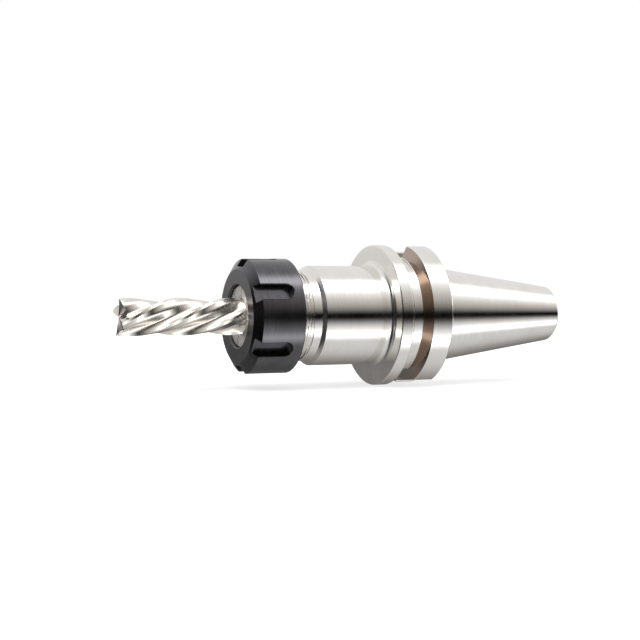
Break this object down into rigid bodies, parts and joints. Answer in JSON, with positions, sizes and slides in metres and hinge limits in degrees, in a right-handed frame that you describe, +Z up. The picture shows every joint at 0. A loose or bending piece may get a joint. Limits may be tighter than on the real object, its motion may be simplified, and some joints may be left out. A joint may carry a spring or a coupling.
{
  "type": "collet chuck holder",
  "caption": "Steep-taper tool holder with a flanged body, a slotted clamping nut and a slit spring collet that grips a fluted end mill.",
  "frame": {"origin": "on the turning axis at the gauge plane of the taper, just behind the flange", "axes": "+X along the turning axis into the machine spindle, -X towards the cutter, +Z up, 6.7 degrees from the middle of one drive slot"},
  "size_m": [0.2094, 0.063, 0.063],
  "materials": {
    "ground_steel": "hardened and ground, bright, with faint turning marks",
    "black_oxide_steel": "black oxide, satin",
    "collet_steel": "hardened spring steel, ground and polished",
    "cutter_steel": "high-speed steel, ground flutes, warm bright",
    "screw_steel": "black oxide"
  },
  "bodies": {
    "holder": {"holder_body": "ground_steel"},
    "collet": {"spring_collet": "collet_steel"},
    "nut": {"clamping_nut": "black_oxide_steel"},
    "cutter": {"end_mill": "cutter_steel"},
    "screw": {"stop_screw": "screw_steel"}
  },
  "joints": [
    {"name": "collet_slide", "type": "slide", "parent": "holder", "child": "collet", "axis": [-1, 0, 0], "range_m": [0, 0.0105]},
    {"name": "nut_turn", "type": "hinge", "parent": "collet", "child": "nut", "pos_m": [-0.08, 0, 0], "axis": [-1, 0, 0], "range_deg": [0, 2520]},
    {"name": "cutter_slide", "type": "slide", "parent": "collet", "child": "cutter", "axis": [-1, 0, 0], "range_m": [0, 0.06]},
    {"name": "screw_slide", "type": "slide", "parent": "holder", "child": "screw", "axis": [1, 0, 0], "range_m": [0, 0.02]}
  ],
  "couplings": [
    {"joint": "collet_slide", "follows": "nut_turn", "m_per_rad": 0.00023873}
  ]
}
